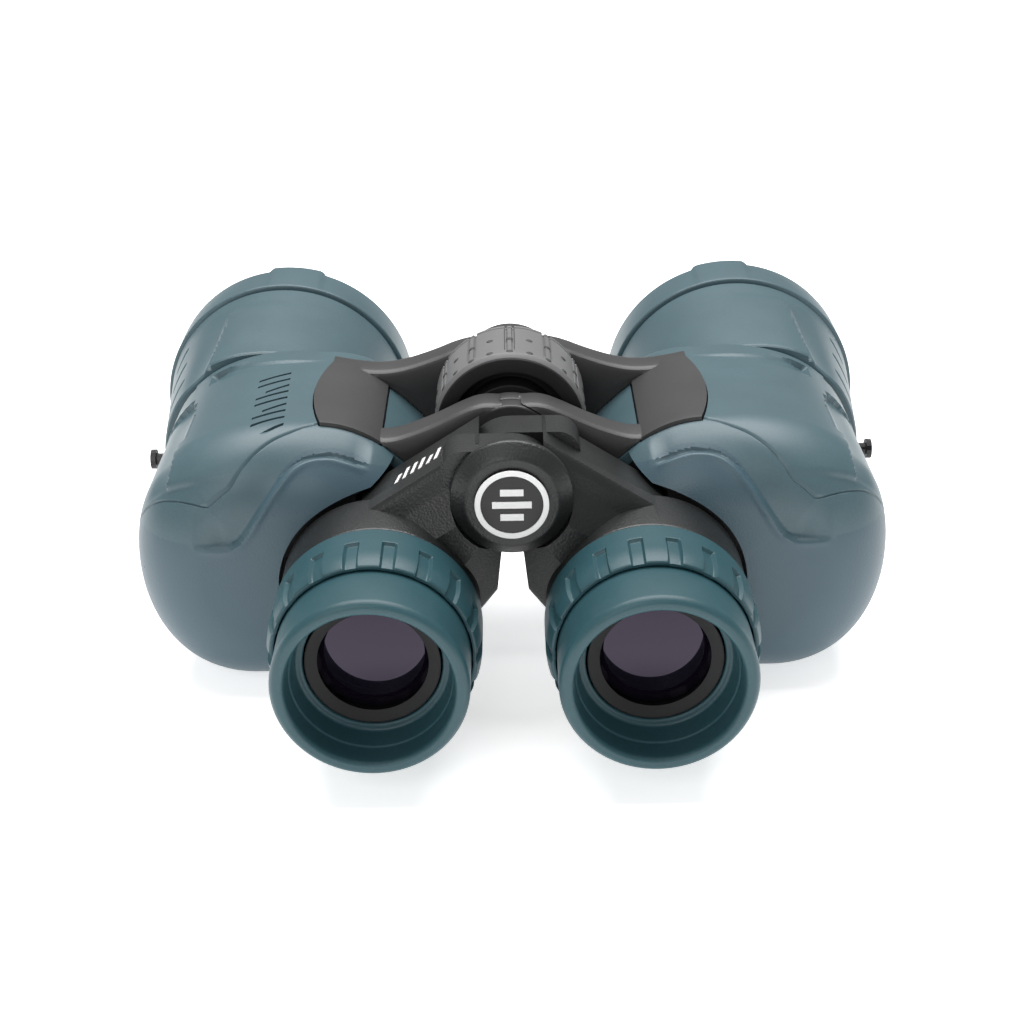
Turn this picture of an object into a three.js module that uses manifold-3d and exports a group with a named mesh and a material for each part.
// Porro-prism binoculars with a centre-focus wheel, a sliding eyepiece bridge and twist-up eyecups.
//
// Lengths are in millimetres. +X points to the user's right, +Y from the eyes towards the view, +Z up.
// Every optical axis runs along Y. Each half is drawn once, for the right-hand side, and mirrored for
// the left. While drawing, y = 0 is the face of the eye lens and z = 0 is the height of the eyepiece
// axes; the last lines move everything so that the origin is the middle of the footprint on the table.
import * as THREE from "three";
import { mergeVertices } from "three/addons/utils/BufferGeometryUtils.js";
import Module from "manifold-3d";

const wasm = await Module();
wasm.setup();

// ---------- driving dimensions ----------

const EYE_SPACING = 62; // between the eyepiece axes, as folded at rest
const HINGE_HEIGHT = 28.6; // hinge axis above the eyepiece axes
const OBJECTIVE_SPACING = 127; // between the objective axes
const OBJECTIVE_HEIGHT = 5; // objective axes above the eyepiece axes
const PLAY = 0.3; // gap between pieces that touch or slide

// Prism housing seen from behind, its stretch of Y, and the rounding of its two ends
const HOUSING = {
  inner: 12,
  outer: OBJECTIVE_SPACING / 2 + 29.5,
  bottom: -30,
  top: HINGE_HEIGHT + 7.4,
  rear: 34,
  front: 100.5,
};
const REAR_ROUND = 15;
const FRONT_ROUND = 7;
const ARMOUR_WALL = 2.4; // rubber over the housing
const FRAME_WALL = 2.2; // metal under the rubber
const CAVITY = { rear: HOUSING.rear + 7.7, front: HOUSING.front - 5 }; // room for the prisms
const COVER_SPLIT = 46; // seam between the rear cover and the housing armour

// Objective barrel
const BARREL = { start: 92, end: 140, rear: 28.6, front: 34 };
const TUBE = { outer: 25.6, wall: 1.6, end: BARREL.end + 10, flange: 30.6, flangeStart: BARREL.end + 2 };
const BEZEL = { radius: 35, length: 15, mouth: 31, hood: 5 };
const OBJECTIVE_GLASS = { radius: 25, thick: 5, bulge: 2.2, y: BARREL.end + 3.2 };
const LENS_RING = { wall: 2.2, length: 2 };

// Prisms
const PRISM = { width: 17.6, cut: 18, clip: 0.7 };
const SHELF = { y: 67.2, thick: 2, hole: 7.6 };

// Eyepiece
const NOSE = { radius: 15, end: 14 }; // narrow end round the eye lens, which the cup slides over
const OCULAR = { radius: 18.7, end: 27, tail: 13.2, tailEnd: 52, wall: 1.6 };
const EYE_GLASS = { radius: 12.8, thick: 4, bulge: 1.6, y: 1.2 };
const EYE_RING = { start: -0.9, end: 0.1, lip: 0.6 };
const FIELD_GLASS = { radius: 11, y: 40, thick: 4 };
const CUP = { rim: -12.3, back: 5.4, outer: 21.6, lip: 18.3, floor: 2.2 };
const GRIP = { front: 1.7, back: 17.4, rim: CUP.outer + 1.6, base: CUP.outer + 2.4, flange: 2.6 };
const NOTCH = { count: 18, width: 3, depth: 0.8, length: 9.7 };
const GUIDE = { outer: OCULAR.tail + 2.2, length: 6 };

// Eyepiece bridge
const BRIDGE = { front: 24.7, split: 34.8, back: 45, hub: 13.3, shoulder: 20.4, flange: 2.6, reach: 35 };
const COLLAR = { front: 18.5, outer: OCULAR.radius + 4.7 };
const WEB_FRONT = 22;
const KNUCKLE = 10.6; // radius of the hub where the slot shows it
const SLOT = 14.6; // width of the slot over the hub
const ARM_GAP = 1; // half the gap between the two arms on the hinge axis
const CLOSING = THREE.MathUtils.degToRad(11.4); // fold from rest to the narrowest eye spacing
const FOCUS_IN = 4; // focusing travel of the bridge towards the housing

// Hinge and focusing
const NEAR_LUG = { start: 50, end: 59, radius: 11 };
const FAR_LUG = { start: 86, end: 95, radius: 12.4 };
const SADDLE = { inner: 31, outer: 45, bulge: 3, rise: 0.8 };
const ARM_DEPTH = 9; // height of a bracket arm where it leaves the lug
const SCREW = { radius: 5.2, end: 88 };
const AXLE = { outer: 8, inner: SCREW.radius + 0.4 };
const WHEEL = { start: 62, end: 84.3, radius: 18.7, rubber: 1.8, rim: 1.2, recess: 14.5, web: 6 };
const REAR_CAP = { base: 13.9, face: 10.8, length: 4.4 };
const BADGE = { radius: 8.4, thick: 0.8 };
const FRONT_CAP = { radius: 12.5, length: 9.6, round: 1.5 };
const STRAP_LUG = { y: 104.6, z: 3, stem: 1.6, head: 2.7, reach: 4.1, headThick: 1.4 };

const eyeX = EYE_SPACING / 2;
const objX = OBJECTIVE_SPACING / 2;
const hingeAxis = [0, HINGE_HEIGHT];
const eyeAxis = [eyeX, 0];
const objAxis = [objX, OBJECTIVE_HEIGHT];

// ---------- finishes ----------

const finish = (color, roughness, metalness = 0, opacity = 1) =>
  new THREE.MeshStandardMaterial({ color, roughness, metalness, opacity, transparent: opacity < 1 });
const tealRubber = finish(0x4f7078, 0.55);
const greenRubber = finish(0x3f6f74, 0.5);
const blackPlastic = finish(0x2b2d2f, 0.5);
const greyPlastic = finish(0x4b494a, 0.5);
const greyRubber = finish(0x5c5d60, 0.6);
const blackMetal = finish(0x17181a, 0.3, 0.6);
const steel = finish(0xb4b6b8, 0.3, 1);
const coatedGlass = finish(0x564a66, 0.05, 0, 0.4);
const prismGlass = finish(0xcfd8d8, 0.05, 0, 0.4);
const white = finish(0xf2f2f0, 0.35);

// ---------- helpers ----------

// A closed geometry as a solid, with its faces pointing out.
function solidOf(geometry) {
  const bare = geometry.index ? geometry.toNonIndexed() : geometry.clone();
  bare.deleteAttribute("normal");
  bare.deleteAttribute("uv");
  const merged = mergeVertices(bare, 1e-4);
  const vertProperties = new Float32Array(merged.attributes.position.array);
  const corners = [];
  const all = merged.index.array;
  for (let i = 0; i < all.length; i += 3) {
    const [a, b, c] = [all[i], all[i + 1], all[i + 2]];
    if (a !== b && b !== c && c !== a) corners.push(a, b, c);
  }
  const made = new wasm.Manifold(
    new wasm.Mesh({ numProp: 3, vertProperties, triVerts: new Uint32Array(corners) }),
  );
  if (made.volume() > 0) return made;
  for (let i = 0; i < corners.length; i += 3) [corners[i], corners[i + 1]] = [corners[i + 1], corners[i]];
  return new wasm.Manifold(
    new wasm.Mesh({ numProp: 3, vertProperties, triVerts: new Uint32Array(corners) }),
  );
}

// A solid as the geometry of a three.js mesh.
function geometryOf(solid) {
  const mesh = solid.getMesh();
  const geometry = new THREE.BufferGeometry();
  geometry.setAttribute("position", new THREE.BufferAttribute(new Float32Array(mesh.vertProperties), 3));
  geometry.setIndex(new THREE.BufferAttribute(new Uint32Array(mesh.triVerts), 1));
  geometry.computeVertexNormals();
  return geometry;
}

// A solid turned about an axis along Y. The profile lists [radius, y] once round its outline.
function turned(profile, at = [0, 0], segments = 20) {
  const points = profile.map(([r, y]) => new THREE.Vector2(r, y));
  if (profile[0][0] > 0) points.push(points[0].clone());
  const geometry = new THREE.LatheGeometry(points, segments);
  geometry.translate(at[0], 0, at[1]);
  return solidOf(geometry);
}

const disc = (radius, y0, y1, at, segments) =>
  turned([[0, y0], [radius, y0], [radius, y1], [0, y1]], at, segments);
const ring = (inner, outer, y0, y1, at, segments) =>
  turned([[inner, y0], [outer, y0], [outer, y1], [inner, y1]], at, segments);

// A flat outline in the XZ plane, given a thickness along Y.
function slab(shape, y0, y1, curveSegments = 8) {
  const geometry = new THREE.ExtrudeGeometry(shape, { depth: y1 - y0, bevelEnabled: false, curveSegments });
  geometry.rotateX(Math.PI / 2);
  geometry.translate(0, y1, 0);
  return solidOf(geometry);
}

// A flat outline in the XY plane, given a height along Z.
function tower(shape, z0, z1, curveSegments = 8) {
  const geometry = new THREE.ExtrudeGeometry(shape, { depth: z1 - z0, bevelEnabled: false, curveSegments });
  geometry.translate(0, 0, z0);
  return solidOf(geometry);
}

function block(x0, x1, y0, y1, z0, z1) {
  const geometry = new THREE.BoxGeometry(x1 - x0, y1 - y0, z1 - z0);
  geometry.translate((x0 + x1) / 2, (y0 + y1) / 2, (z0 + z1) / 2);
  return solidOf(geometry);
}

// The outline of a belt round two discs in the XZ plane.
function beltShape([x1, z1], r1, [x2, z2], r2) {
  const along = Math.atan2(z2 - z1, x2 - x1);
  const lean = Math.acos((r1 - r2) / Math.hypot(x2 - x1, z2 - z1));
  const shape = new THREE.Shape();
  shape.absarc(x1, z1, r1, along + lean, along + 2 * Math.PI - lean, false);
  shape.absarc(x2, z2, r2, along - lean, along + lean, false);
  return shape;
}

// A skin through copies of one outline, each at its own y and scaled about the point mid.
function loft(outline, mid, stations) {
  const n = outline.length;
  const position = [];
  const index = [];
  for (const { y, sx, sz } of stations)
    for (const p of outline) position.push(mid.x + (p.x - mid.x) * sx, y, mid.y + (p.y - mid.y) * sz);
  for (let j = 0; j + 1 < stations.length; j++)
    for (let i = 0; i < n; i++) {
      const a = j * n + i;
      const b = j * n + ((i + 1) % n);
      index.push(a, a + n, b, b, a + n, b + n);
    }
  const last = (stations.length - 1) * n;
  for (const [a, b, c] of THREE.ShapeUtils.triangulateShape(outline, [])) {
    index.push(a, b, c);
    index.push(last + a, last + c, last + b);
  }
  const geometry = new THREE.BufferGeometry();
  geometry.setAttribute("position", new THREE.Float32BufferAttribute(position, 3));
  geometry.setIndex(index);
  return solidOf(geometry);
}

// ---------- forms of one half, drawn for the right ----------

const housingMid = new THREE.Vector2(
  (HOUSING.inner + HOUSING.outer) / 2,
  (HOUSING.bottom + HOUSING.top) / 2,
);
const housingHalf = new THREE.Vector2(
  (HOUSING.outer - HOUSING.inner) / 2,
  (HOUSING.top - HOUSING.bottom) / 2,
);

// The housing seen from behind: flat underneath, round at the outside, with a sloping inner shoulder.
function housingOutline() {
  const { inner, outer, bottom, top } = HOUSING;
  const shape = new THREE.Shape();
  shape.moveTo(inner + 16, bottom);
  shape.lineTo(outer - 27, bottom);
  shape.bezierCurveTo(outer - 10, bottom, outer, bottom + 14, outer, bottom + 32);
  shape.bezierCurveTo(outer, bottom + 44, outer - 4, bottom + 52, outer - 11, bottom + 57);
  shape.bezierCurveTo(outer - 18, top - 3, outer - 26, top, outer - 36, top);
  shape.lineTo(inner + 33, top - 0.5);
  shape.bezierCurveTo(inner + 24, top - 1, inner + 18, top - 6, inner + 12, top - 12);
  shape.bezierCurveTo(inner + 3, top - 21, inner, top - 30, inner, top - 38);
  shape.lineTo(inner, bottom + 16);
  shape.bezierCurveTo(inner, bottom + 6, inner + 6, bottom, inner + 16, bottom);
  return shape.getPoints(3).slice(0, -1);
}

// The housing block drawn in by inset all round, between two values of y, with its ends rounded.
function housingBlock(inset, rear, front) {
  const steps = 3;
  const rearRound = REAR_ROUND - inset;
  const frontRound = Math.max(FRONT_ROUND - inset, FRAME_WALL);
  const station = (y, drawnIn) => ({
    y,
    sx: 1 - (inset + drawnIn) / housingHalf.x,
    sz: 1 - (inset + drawnIn) / housingHalf.y,
  });
  const stations = [];
  for (let i = 0; i <= steps; i++) {
    const turn = (i / steps) * (Math.PI / 2);
    stations.push(station(rear + rearRound * (1 - Math.cos(turn)), rearRound * (1 - Math.sin(turn))));
  }
  for (let i = steps; i >= 0; i--) {
    const turn = (i / steps) * (Math.PI / 2);
    stations.push(station(front - frontRound * (1 - Math.cos(turn)), frontRound * (1 - Math.sin(turn))));
  }
  return loft(housingOutline(), housingMid, stations);
}

const barrelRadius = (y) =>
  BARREL.rear + ((BARREL.front - BARREL.rear) * (y - BARREL.start)) / (BARREL.end - BARREL.start);

const armourForm = housingBlock(0, HOUSING.rear, HOUSING.front);
const armourCore = housingBlock(ARMOUR_WALL, HOUSING.rear + ARMOUR_WALL, HOUSING.front - ARMOUR_WALL);
const frameInset = ARMOUR_WALL + PLAY;
const frameForm = housingBlock(frameInset, HOUSING.rear + frameInset, HOUSING.front - frameInset);
const cavityForm = housingBlock(frameInset + FRAME_WALL, CAVITY.rear, CAVITY.front);

// Room behind the housing for the bridge at the inner end of its travel
const collarRoomEnd = BRIDGE.split + FOCUS_IN + 2 * PLAY;
const armRoomEnd = BRIDGE.back + FOCUS_IN + 2 * PLAY;
const bossRadius = BRIDGE.shoulder - BRIDGE.flange - 2 * PLAY;

function armRoom(grow) {
  const reach = block(0, BRIDGE.reach + 1.5 + grow, -40, armRoomEnd + grow, -60, 80);
  const belt = beltShape(hingeAxis, BRIDGE.hub + 1 + grow, eyeAxis, BRIDGE.shoulder + 1 + grow);
  return slab(belt, 0, 200).intersect(reach);
}

const bridgeRoom = armRoom(0)
  .subtract(disc(bossRadius, 0, 100, eyeAxis))
  .add(disc(COLLAR.outer + 1, 0, collarRoomEnd, eyeAxis));

// The saddle of the hinge bracket seen from above, with a bowed outer edge
function saddleShape(grow) {
  const shape = new THREE.Shape();
  const near = NEAR_LUG.start - grow;
  const far = FAR_LUG.start + 4 + grow;
  shape.moveTo(SADDLE.inner - grow, near);
  shape.lineTo(SADDLE.outer + grow, near);
  shape.quadraticCurveTo(SADDLE.outer + 2 * SADDLE.bulge + grow, (near + far) / 2, SADDLE.outer + grow, far);
  shape.lineTo(SADDLE.inner - grow, far);
  return shape;
}

const topHalf = HINGE_HEIGHT - ARM_DEPTH;
const saddleRoom = tower(saddleShape(PLAY), topHalf, HOUSING.top + 10);

// ---------- pieces of one half ----------

function prismFrame() {
  const eyePort = disc(GUIDE.outer + PLAY, 0, collarRoomEnd + GUIDE.length, eyeAxis);
  const tailRoom = disc(OCULAR.tail + 2 * PLAY, 0, SHELF.y - 8, eyeAxis);
  const barrelPort = disc(TUBE.outer + PLAY, CAVITY.front - 4, HOUSING.front + 5, objAxis, 32);
  const cavity = cavityForm.subtract(armRoom(FRAME_WALL));
  return frameForm
    .subtract(cavity)
    .subtract(bridgeRoom)
    .subtract(eyePort)
    .subtract(tailRoom)
    .subtract(barrelPort);
}

function armourShell() {
  const barrelPort = disc(barrelRadius(HOUSING.front) - ARMOUR_WALL, (HOUSING.rear + HOUSING.front) / 2, 200, objAxis);
  const collarPort = disc(COLLAR.outer + 1, 0, COVER_SPLIT, eyeAxis);
  return armourForm
    .subtract(armourCore)
    .subtract(bridgeRoom)
    .subtract(collarPort)
    .subtract(saddleRoom)
    .subtract(barrelPort);
}

const rearCover = () => armourShell().intersect(block(0, 120, 0, COVER_SPLIT - PLAY / 2, -60, 60));
const housingArmour = () => armourShell().intersect(block(0, 120, COVER_SPLIT + PLAY / 2, 200, -60, 60));

function barrelArmour() {
  const start = HOUSING.front + PLAY;
  const end = BARREL.end - PLAY;
  return turned(
    [
      [TUBE.outer + PLAY, start],
      [barrelRadius(start), start],
      [barrelRadius(end), end],
      [TUBE.outer + PLAY, end],
    ],
    objAxis,
    28,
  );
}

// The metal tube of the objective, with a wide cup at its front that holds the lens
function objectiveTube() {
  const { outer, wall, end, flange, flangeStart } = TUBE;
  const seat = OBJECTIVE_GLASS.radius + PLAY;
  return turned(
    [
      [outer - wall, CAVITY.front],
      [outer, CAVITY.front],
      [outer, flangeStart],
      [flange, flangeStart],
      [flange, end],
      [seat, end],
      [seat, OBJECTIVE_GLASS.y - PLAY],
      [outer - wall, OBJECTIVE_GLASS.y - PLAY],
    ],
    objAxis,
    24,
  );
}

function objectiveBezel() {
  const { radius, length, mouth, hood } = BEZEL;
  const start = BARREL.end;
  return turned(
    [
      [TUBE.outer + 1, start],
      [radius, start],
      [radius, start + length - 1.5],
      [radius - 1.2, start + length],
      [mouth + 0.6, start + length],
      [mouth, start + length - hood],
      [TUBE.flange + PLAY, start + length - hood],
      [TUBE.flange + PLAY, TUBE.flangeStart - PLAY],
      [TUBE.outer + 1, TUBE.flangeStart - PLAY],
    ],
    objAxis,
    28,
  );
}

// A lens with a bulging face towards y0 and a flatter one towards y1.
function lens(radius, y0, thick, bulge, at) {
  const front = [];
  const back = [];
  const steps = 2;
  for (let i = 0; i <= steps; i++) {
    const r = (radius * i) / steps;
    const sag = bulge * (i / steps) ** 2;
    front.push([r, y0 + sag]);
    back.push([r, y0 + thick - sag / 3]);
  }
  return turned([...front, ...back.reverse()], at);
}

// The beam leaves the objective axis, crosses to the turning point and ends on the eyepiece axis.
const beamStep = new THREE.Vector2(objX - eyeX, OBJECTIVE_HEIGHT).multiplyScalar(0.5);
const turningPoint = [
  eyeX + beamStep.x + beamStep.y,
  beamStep.y - beamStep.x,
];
const prismReach = beamStep.length() * Math.SQRT2;

// The side view of a right-angled prism with blunt ends, its long face sunk below the line y = 0.
function prismShape(grow, sunk = 0) {
  const cut = PRISM.cut + grow;
  const shape = new THREE.Shape();
  shape.moveTo(-cut, -sunk);
  shape.lineTo(cut, -sunk);
  shape.lineTo(cut, prismReach - PRISM.cut);
  shape.lineTo(0, prismReach + grow * Math.SQRT2);
  shape.lineTo(-cut, prismReach - PRISM.cut);
  return shape;
}

// Stands a side view on the face of the shelf, between the axes from and to, pointing along facing.
function standPrism(shape, width, from, to, y, facing) {
  const geometry = new THREE.ExtrudeGeometry(shape, { depth: width, bevelEnabled: false });
  geometry.translate(0, 0, -width / 2);
  const along = new THREE.Vector3(to[0] - from[0], 0, to[1] - from[1]).normalize();
  const up = new THREE.Vector3(0, facing, 0);
  const basis = new THREE.Matrix4().makeBasis(along, up, new THREE.Vector3().crossVectors(along, up));
  basis.setPosition((from[0] + to[0]) / 2, y, (from[1] + to[1]) / 2);
  geometry.applyMatrix4(basis);
  return solidOf(geometry);
}

const rearPrismFace = SHELF.y - PLAY;
const frontPrismFace = SHELF.y + SHELF.thick + PLAY;
const rearPrism = () => standPrism(prismShape(0), PRISM.width, objAxis, turningPoint, rearPrismFace, -1);
const frontPrism = () => standPrism(prismShape(0), PRISM.width, turningPoint, eyeAxis, frontPrismFace, 1);

// A spring strap bent over a prism, standing on the shelf.
function prismClip(from, to, face, facing) {
  const width = PRISM.width / 3;
  const strap = standPrism(prismShape(PLAY + PRISM.clip), width, from, to, face, facing);
  return strap.subtract(standPrism(prismShape(PLAY, 1), width + 2, from, to, face, facing));
}

function prismShelf() {
  const inset = frameInset + FRAME_WALL + PLAY;
  const flat = (y) => ({ y, sx: 1 - inset / housingHalf.x, sz: 1 - inset / housingHalf.y });
  let shelf = loft(housingOutline(), housingMid, [flat(SHELF.y), flat(SHELF.y + SHELF.thick)]);
  for (const axis of [objAxis, turningPoint, eyeAxis])
    shelf = shelf.subtract(disc(SHELF.hole, SHELF.y - 1, SHELF.y + SHELF.thick + 1, axis, 16));
  return shelf;
}

function eyepieceBarrel() {
  const { radius, end, tail, tailEnd, wall } = OCULAR;
  const seat = EYE_GLASS.radius + PLAY;
  const start = EYE_RING.end + PLAY;
  const depth = EYE_GLASS.y + EYE_GLASS.thick + PLAY;
  return turned(
    [
      [seat, start],
      [NOSE.radius, start],
      [NOSE.radius, NOSE.end],
      [radius, NOSE.end],
      [radius, end],
      [tail, end],
      [tail, tailEnd],
      [tail - wall, tailEnd],
      [tail - wall, depth],
      [seat, depth],
    ],
    eyeAxis,
  );
}

const eyeLens = () => lens(EYE_GLASS.radius, EYE_GLASS.y, EYE_GLASS.thick, EYE_GLASS.bulge, eyeAxis);
const fieldLens = () => lens(FIELD_GLASS.radius, FIELD_GLASS.y, FIELD_GLASS.thick, 1, eyeAxis);

// A thin bevelled ring that holds the eye lens in the nose
function eyeLensRing() {
  const { start, end, lip } = EYE_RING;
  const profile = [
    [EYE_GLASS.radius - lip, end],
    [NOSE.radius, start],
    [NOSE.radius, end],
  ];
  return turned(profile, eyeAxis, 24);
}

// A cup whose floor slides over the eyepiece's nose
function eyecup() {
  const { rim, back, outer, lip, floor } = CUP;
  const bore = NOSE.radius + PLAY;
  return turned(
    [
      [bore, -1],
      [lip - 1.2, -1],
      [lip, rim + 0.8],
      [lip + 0.8, rim],
      [outer - 1, rim],
      [outer, rim + 1],
      [outer, back],
      [lip - 0.6, back],
      [lip - 0.6, floor],
      [bore, floor],
    ],
    eyeAxis,
    28,
  );
}

// The notched ring that the cup sinks into, clamped on the eyepiece by its inner flange
function gripRing() {
  const { front, back, rim, base, flange } = GRIP;
  const bore = CUP.outer + PLAY;
  let grip = turned(
    [
      [bore, front],
      [rim, front],
      [base, front + 2],
      [base, back],
      [OCULAR.radius + PLAY, back],
      [OCULAR.radius + PLAY, back - flange],
      [bore, back - flange],
    ],
    eyeAxis,
    28,
  );
  for (let i = 0; i < NOTCH.count; i++) {
    const notch = block(-NOTCH.width / 2, NOTCH.width / 2, 0, front + NOTCH.length, base - NOTCH.depth, 40);
    grip = grip.subtract(notch.rotate([0, (360 * i) / NOTCH.count, 0]).translate([eyeX, 0, 0]));
  }
  return grip;
}

const eyepieceGuide = () =>
  ring(OCULAR.tail + PLAY, GUIDE.outer, collarRoomEnd, collarRoomEnd + GUIDE.length - PLAY, eyeAxis);

// One arm of the bridge, from its knuckle on the hinge axis to its collar round the eyepiece
function bridgeArm(knuckleStart, knuckleEnd) {
  const { front, split, back, hub, shoulder, flange, reach } = BRIDGE;
  const belt = beltShape(hingeAxis, hub, eyeAxis, shoulder);
  const hollow = beltShape(hingeAxis, KNUCKLE - 1, eyeAxis, shoulder - flange);
  const web = slab(belt, WEB_FRONT, split);
  const above = new THREE.Shape();
  above.moveTo(0, HINGE_HEIGHT);
  above.lineTo(reach, HINGE_HEIGHT - (reach * HINGE_HEIGHT) / eyeX);
  above.lineTo(reach, HINGE_HEIGHT + 20);
  above.lineTo(0, HINGE_HEIGHT + 20);
  const flangeBand = slab(belt, split - 1, back).subtract(slab(hollow, split - 2, back + 1));
  const topFlange = flangeBand.intersect(slab(above, split - 3, back + 2));
  const collar = disc(COLLAR.outer, COLLAR.front, split, eyeAxis, 24);
  const knuckleRoom = disc(KNUCKLE + PLAY, 0, 80, hingeAxis);
  const capRoom = disc(REAR_CAP.base + PLAY, 0, front, hingeAxis);
  const slotRoom = block(-50, SLOT / 2, 0, 80, HINGE_HEIGHT, 80);
  // Under the hub the gap widens, so that the arms meet only at the end of the fold
  const below = HINGE_HEIGHT + shoulder;
  const gap = new THREE.Shape();
  gap.moveTo(-reach, HINGE_HEIGHT);
  gap.lineTo(ARM_GAP, HINGE_HEIGHT);
  gap.lineTo(ARM_GAP + below * Math.tan(CLOSING / 2), HINGE_HEIGHT - below);
  gap.lineTo(-reach, HINGE_HEIGHT - below);
  const gapRoom = slab(gap, 0, 2 * back);
  return web
    .add(topFlange)
    .add(collar)
    .subtract(knuckleRoom)
    .subtract(slotRoom)
    .subtract(gapRoom)
    .add(knuckleWeb(knuckleStart, knuckleEnd))
    .subtract(capRoom)
    .subtract(disc(SCREW.radius + PLAY, 0, 80, hingeAxis, 20))
    .subtract(disc(OCULAR.radius + PLAY, 0, 80, eyeAxis, 24));
}

// The knuckle itself, with the piece of web that joins it to the arm
function knuckleWeb(start, end) {
  const root = [KNUCKLE, HINGE_HEIGHT + KNUCKLE / 2];
  return slab(beltShape(hingeAxis, KNUCKLE, root, KNUCKLE / 2), start, end);
}

// Side outline of a bracket arm: a lug on the hinge axis that thins towards the saddle
function bracketArmShape(lug) {
  const { inner, outer } = SADDLE;
  const deck = HOUSING.top;
  const shape = new THREE.Shape();
  shape.moveTo(0, HINGE_HEIGHT - lug.radius);
  shape.lineTo(inner - 6, HINGE_HEIGHT - ARM_DEPTH);
  shape.lineTo(outer, HINGE_HEIGHT - 6);
  shape.lineTo(outer, deck + SADDLE.rise - 0.6);
  shape.quadraticCurveTo(inner + 6, deck - 2, inner, deck - 3.5);
  shape.quadraticCurveTo(inner - 7, deck - 3, 1.5 * lug.radius, deck + 1);
  shape.quadraticCurveTo(lug.radius, HINGE_HEIGHT + lug.radius, 0, HINGE_HEIGHT + lug.radius);
  return shape;
}

// A bracket: a saddle on the housing, and near and far arms whose lugs take turns along the axle
function hingeBracket(firstLug) {
  const deckSkin = housingBlock(-SADDLE.rise, HOUSING.rear - SADDLE.rise, HOUSING.front + SADDLE.rise);
  const bed = housingBlock(ARMOUR_WALL, HOUSING.rear + ARMOUR_WALL, HOUSING.front - ARMOUR_WALL);
  const saddle = deckSkin.subtract(bed).intersect(tower(saddleShape(0), topHalf, HOUSING.top + 5));
  const clearOfArmour = housingBlock(-PLAY, HOUSING.rear - PLAY, HOUSING.front + PLAY);
  let bracket = saddle;
  for (const lug of [NEAR_LUG, FAR_LUG]) {
    const middle = (lug.start + lug.end) / 2;
    const [y0, y1] = firstLug ? [lug.start, middle - PLAY / 2] : [middle + PLAY / 2, lug.end];
    const arm = slab(bracketArmShape(lug), lug.start, lug.end)
      .subtract(disc(lug.radius + PLAY, 0, 200, hingeAxis))
      .add(slab(bracketArmShape(lug), y0, y1))
      .subtract(block(-1, lug.radius * 0.75, y1, 200, -60, 60))
      .subtract(block(-1, lug.radius * 0.75, 0, y0, -60, 60))
      .add(disc(lug.radius, y0, y1, hingeAxis));
    bracket = bracket.add(arm.subtract(clearOfArmour));
  }
  return bracket.subtract(disc(AXLE.outer + PLAY, 0, 200, hingeAxis));
}

function strapLug() {
  const { y, z, stem, head, reach, headThick } = STRAP_LUG;
  const out = objX + BARREL.rear + 1.4 + reach;
  const base = objX + Math.sqrt(barrelRadius(y) ** 2 - (OBJECTIVE_HEIGHT - z) ** 2) + PLAY;
  const profile = [
    [0, base],
    [stem, base],
    [stem, out - headThick],
    [head, out - headThick],
    [head, out],
    [0, out],
  ];
  const points = profile.map(([r, x]) => new THREE.Vector2(r, x));
  const geometry = new THREE.LatheGeometry(points, 14);
  geometry.rotateZ(-Math.PI / 2);
  geometry.translate(0, y, z);
  return solidOf(geometry);
}

// ---------- pieces on the hinge axis ----------

const axleStart = NEAR_LUG.start;
const hingeAxle = () => ring(AXLE.inner, AXLE.outer, axleStart, FAR_LUG.end, hingeAxis, 24);
const focusScrew = () => disc(SCREW.radius, BRIDGE.front, SCREW.end, hingeAxis, 20);

function focusWheel() {
  const { start, end, radius, rubber, rim, recess, web } = WHEEL;
  const bore = AXLE.outer + PLAY;
  const seat = radius - rubber - PLAY;
  return turned(
    [
      [bore, start],
      [bore + 3, start],
      [bore + 3, start + web],
      [recess, start + web],
      [recess, start],
      [radius - 0.6, start],
      [radius - 0.6, start + rim],
      [seat, start + rim],
      [seat, end],
      [bore, end],
    ],
    hingeAxis,
    24,
  );
}

const wheelGrip = () =>
  ring(WHEEL.radius - WHEEL.rubber, WHEEL.radius, WHEEL.start + WHEEL.rim + PLAY, WHEEL.end, hingeAxis, 24);

function rearCap() {
  const { base, face, length } = REAR_CAP;
  const back = BRIDGE.front - PLAY;
  const profile = [
    [0, back],
    [base, back],
    [base, back - length / 3],
    [face, back - length],
    [0, back - length],
  ];
  return turned(profile, hingeAxis, 28);
}

const badgeFace = BRIDGE.front - PLAY - REAR_CAP.length - PLAY;
const badge = () => disc(BADGE.radius, badgeFace - BADGE.thick, badgeFace, hingeAxis, 24);

function frontCap() {
  const { radius, length, round } = FRONT_CAP;
  const start = FAR_LUG.end + PLAY;
  const end = start + length;
  return turned(
    [
      [0, start],
      [radius, start],
      [radius, end - round],
      [radius - round, end],
      [0, end],
    ],
    hingeAxis,
    24,
  );
}

// ---------- assembly ----------

const binoculars = new THREE.Group();
binoculars.position.set(0, -(CUP.rim + BARREL.end + BEZEL.length) / 2, -HOUSING.bottom);

function place(name, solid, material) {
  const mesh = new THREE.Mesh(geometryOf(solid), material);
  mesh.name = name;
  binoculars.add(mesh);
}

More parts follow.
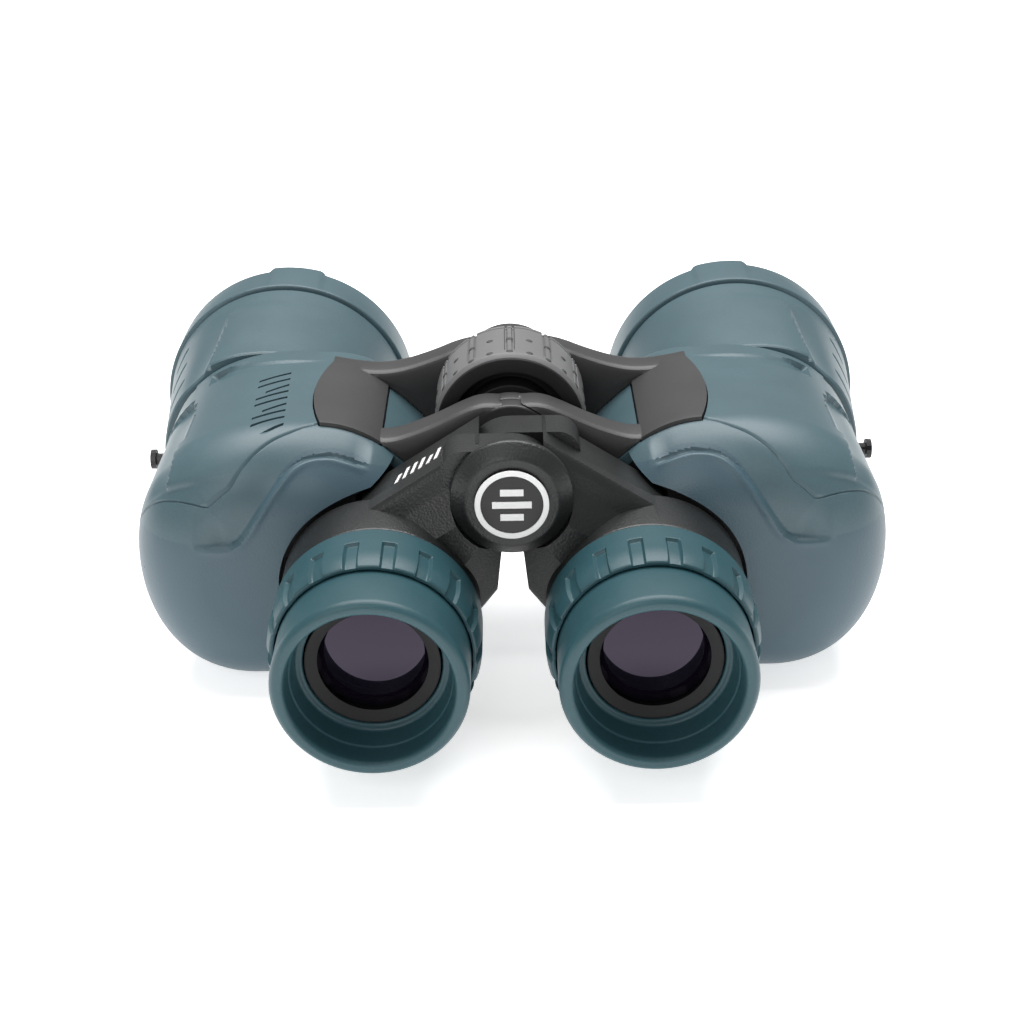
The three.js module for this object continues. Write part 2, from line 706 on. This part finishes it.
const half = [
  ["prism_frame", prismFrame(), blackMetal],
  ["rear_cover", rearCover(), tealRubber],
  ["housing_armour", housingArmour(), tealRubber],
  ["barrel_armour", barrelArmour(), tealRubber],
  ["objective_tube", objectiveTube(), blackMetal],
  ["objective_bezel", objectiveBezel(), tealRubber],
  [
    "objective_lens",
    lens(OBJECTIVE_GLASS.radius, OBJECTIVE_GLASS.y, OBJECTIVE_GLASS.thick, OBJECTIVE_GLASS.bulge, objAxis),
    coatedGlass,
  ],
  [
    "objective_lens_ring",
    ring(
      OBJECTIVE_GLASS.radius - LENS_RING.wall,
      OBJECTIVE_GLASS.radius,
      OBJECTIVE_GLASS.y + OBJECTIVE_GLASS.thick + PLAY,
      OBJECTIVE_GLASS.y + OBJECTIVE_GLASS.thick + PLAY + LENS_RING.length,
      objAxis,
    ),
    blackMetal,
  ],
  ["rear_prism", rearPrism(), prismGlass],
  ["front_prism", frontPrism(), prismGlass],
  ["rear_prism_clip", prismClip(objAxis, turningPoint, rearPrismFace, -1), steel],
  ["front_prism_clip", prismClip(turningPoint, eyeAxis, frontPrismFace, 1), steel],
  ["prism_shelf", prismShelf(), steel],
  ["eyepiece_guide", eyepieceGuide(), blackMetal],
  ["eyepiece_barrel", eyepieceBarrel(), blackMetal],
  ["eye_lens", eyeLens(), coatedGlass],
  ["field_lens", fieldLens(), coatedGlass],
  ["eye_lens_ring", eyeLensRing(), blackMetal],
  ["eyecup", eyecup(), greenRubber],
  ["strap_lug", strapLug(), steel],
];

const mirrored = (solid) => solid.mirror([1, 0, 0]);
for (const [name, solid, material] of half) {
  place(`right_${name}`, solid, material);
  place(`left_${name}`, mirrored(solid), material);
}
place("right_dioptre_ring", gripRing(), greenRubber);
place("left_grip_ring", mirrored(gripRing()), greenRubber);
place("right_bridge_arm", bridgeArm(BRIDGE.split + PLAY / 2, BRIDGE.back), blackPlastic);
place("left_bridge_arm", mirrored(bridgeArm(BRIDGE.front, BRIDGE.split - PLAY / 2)), blackPlastic);
place("right_hinge_bracket", hingeBracket(false), greyPlastic);
place("left_hinge_bracket", mirrored(hingeBracket(true)), greyPlastic);
place("hinge_axle", hingeAxle(), steel);
place("focus_screw", focusScrew(), blackMetal);
place("focus_wheel", focusWheel(), blackPlastic);
place("focus_wheel_grip", wheelGrip(), greyRubber);
place("rear_cap", rearCap(), blackPlastic);
place("badge", badge(), white);
place("front_cap", frontCap(), blackPlastic);

export default binoculars;
